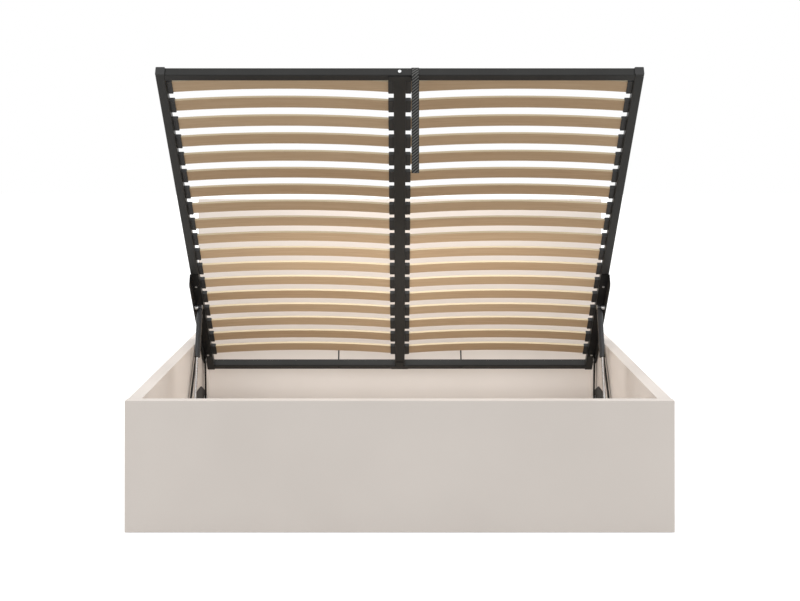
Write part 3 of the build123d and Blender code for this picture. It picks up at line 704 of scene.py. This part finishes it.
# %% Seals where the rods enter the struts
strut_across = 777.5 * mm
strut_top = deck_point(0, 558 * mm, -30 * mm)
strut_way = Vector(joint["strut_slide"]["axis"])
strut_body_reach = 205 * mm
lip_radius = 0.9 * mm
lip_reach = 6.0 * mm
seals = bmesh.new()
for side in (-1, 1):
    mouth = strut_top + strut_way * strut_body_reach + Vector((side * strut_across, 0, 0))
    lip = mouth + Vector((lip_reach, 0, 0))
    plane = Matrix.Translation(lip) @ strut_way.to_track_quat("Y", "X").to_matrix().to_4x4()
    ring = bmesh.ops.create_circle(seals, segments=10, radius=lip_radius, matrix=plane)["verts"]
    ring_edges = list({edge for vert in ring for edge in vert.link_edges})
    turn = {"cent": mouth, "axis": strut_way, "angle": 2 * pi, "steps": 32, "use_merge": True}
    bmesh.ops.spin(seals, geom=ring + ring_edges, **turn)
bmesh.ops.remove_doubles(seals, verts=seals.verts[:], dist=merge_distance)
bmesh.ops.recalc_face_normals(seals, faces=seals.faces[:])
finished_piece("rod_seals", seals, pad_rubber, "strut_bodies")

# %% [markdown]
# ## Floor, light and camera
#
# The floor is a plain pale plane that keeps a soft shadow and shows as white. An even sky gives most of the
# light, a high wide sun makes top edges brighter than upright faces, and three soft lamps reach what the raised
# base shades: the box near the foot end, the box near the head, and the headboard. The camera stands level at
# 1.24 m, far in front of the foot end, and its lens is shifted down, so that upright edges stay upright in the
# picture.

# %% Floor
floor_half = 30.0
floor_tone = (0.55, 0.55, 0.545)
floor_glow = 0.72
floor_shape = bmesh.new()
bmesh.ops.create_grid(floor_shape, x_segments=1, y_segments=1, size=floor_half)
floor_mesh = bpy.data.meshes.new("studio_floor")
floor_shape.to_mesh(floor_mesh)
floor_shape.free()
floor = bpy.data.objects.new("studio_floor", floor_mesh)
bpy.context.scene.collection.objects.link(floor)
pale = Finish("pale_floor")
pale.tree.nodes.remove(pale.shader)
matt = pale.add("ShaderNodeBsdfDiffuse", {}, {"Color": floor_tone})
rays = pale.tree.nodes.new("ShaderNodeLightPath")
kinds = ("Is Camera Ray", "Is Glossy Ray", "Is Transmission Ray")
seen = sum(Field(pale, rays.outputs[kind]) for kind in kinds)
glow = pale.add("ShaderNodeEmission", {}, {"Color": (1, 1, 1), "Strength": seen.clamped() * floor_glow})
both = pale.add("ShaderNodeAddShader", {}, {0: matt, 1: glow})
pale.tree.links.new(both.socket, pale.tree.nodes["Material Output"].inputs["Surface"])
floor_mesh.materials.append(pale.material)
print("floor is", 2 * floor_half, "m wide")

# %% Sky
sky_strength = 0.85
world = bpy.data.worlds.new("studio")
bpy.context.scene.world = world
world.use_nodes = True
sky = world.node_tree
sky_light = sky.nodes["Background"]
sky_seen = sky.nodes.new("ShaderNodeBackground")
for background, strength in ((sky_light, sky_strength), (sky_seen, 1.0)):
    background.inputs["Color"].default_value = (1, 1, 1, 1)
    background.inputs["Strength"].default_value = strength
sky_rays = sky.nodes.new("ShaderNodeLightPath")
sky_pick = sky_rays.outputs["Is Camera Ray"]
for kind in ("Is Glossy Ray", "Is Transmission Ray"):
    either = sky.nodes.new("ShaderNodeMath")
    either.operation = "MAXIMUM"
    sky.links.new(sky_pick, either.inputs[0])
    sky.links.new(sky_rays.outputs[kind], either.inputs[1])
    sky_pick = either.outputs[0]
sky_mix = sky.nodes.new("ShaderNodeMixShader")
sky.links.new(sky_pick, sky_mix.inputs["Fac"])
sky.links.new(sky_light.outputs[0], sky_mix.inputs[1])
sky.links.new(sky_seen.outputs[0], sky_mix.inputs[2])
sky.links.new(sky_mix.outputs[0], sky.nodes["World Output"].inputs["Surface"])
print("sky strength", sky_strength)


# %% Sun and lamps
def placed_light(name, kind, energy, place, toward):
    """A light at a place that shines along a direction, and the object that holds it."""
    light = bpy.data.lights.new(name, kind)
    light.energy = energy
    holder = bpy.data.objects.new(name, light)
    bpy.context.scene.collection.objects.link(holder)
    holder.location = place
    holder.rotation_euler = Vector(toward).to_track_quat("-Z", "Y").to_euler()
    print(name, energy)
    return light, holder


def fill_lamp(name, place, target, size, power):
    """A large soft lamp that lights the inside and isn't seen."""
    lamp, holder = placed_light(name, "AREA", power, place, Vector(target) - Vector(place))
    lamp.shape = "RECTANGLE"
    lamp.size, lamp.size_y = size
    holder.visible_camera = False
    holder.visible_glossy = False


high_sun, _ = placed_light("high_sun", "SUN", 1.1, (0, 0, 0), (0.0, 0.25, -1.0))
high_sun.angle = radians(80)
fill_lamp("front_fill", (0, -0.78, 0.62), (0, -0.3, -0.1), (1.3, 0.4), 2.6)
fill_lamp("rear_fill", (0, -0.2, 0.55), (0, 1.0, 0.1), (1.3, 0.3), 2.6)
fill_lamp("headboard_fill", (0, 0.25, 1.15), (0, 1.0, 0.6), (1.4, 0.5), 5.6)

# %% Camera
picture_width, picture_height = 800, 601
vanishing_x, vanishing_y = 400.3, 133.5
focal_pixels = 1812.0
camera_distance = 5.610
foot_face = -1.053
eye_height = 1.238
eye = bpy.data.cameras.new("photo_view")
eye.sensor_width = 36.0
eye.lens = focal_pixels / picture_width * eye.sensor_width
eye.shift_x = (picture_width / 2 - vanishing_x) / picture_width
eye.shift_y = (vanishing_y - picture_height / 2) / picture_width
eye_holder = bpy.data.objects.new("photo_view", eye)
bpy.context.scene.collection.objects.link(eye_holder)
eye_holder.location = (0.002, foot_face - camera_distance, eye_height)
eye_holder.rotation_euler = (pi / 2, 0, 0)
bpy.context.scene.camera = eye_holder
bpy.context.scene.view_settings.view_transform = "Standard"
print("lens", round(eye.lens, 1), "mm")
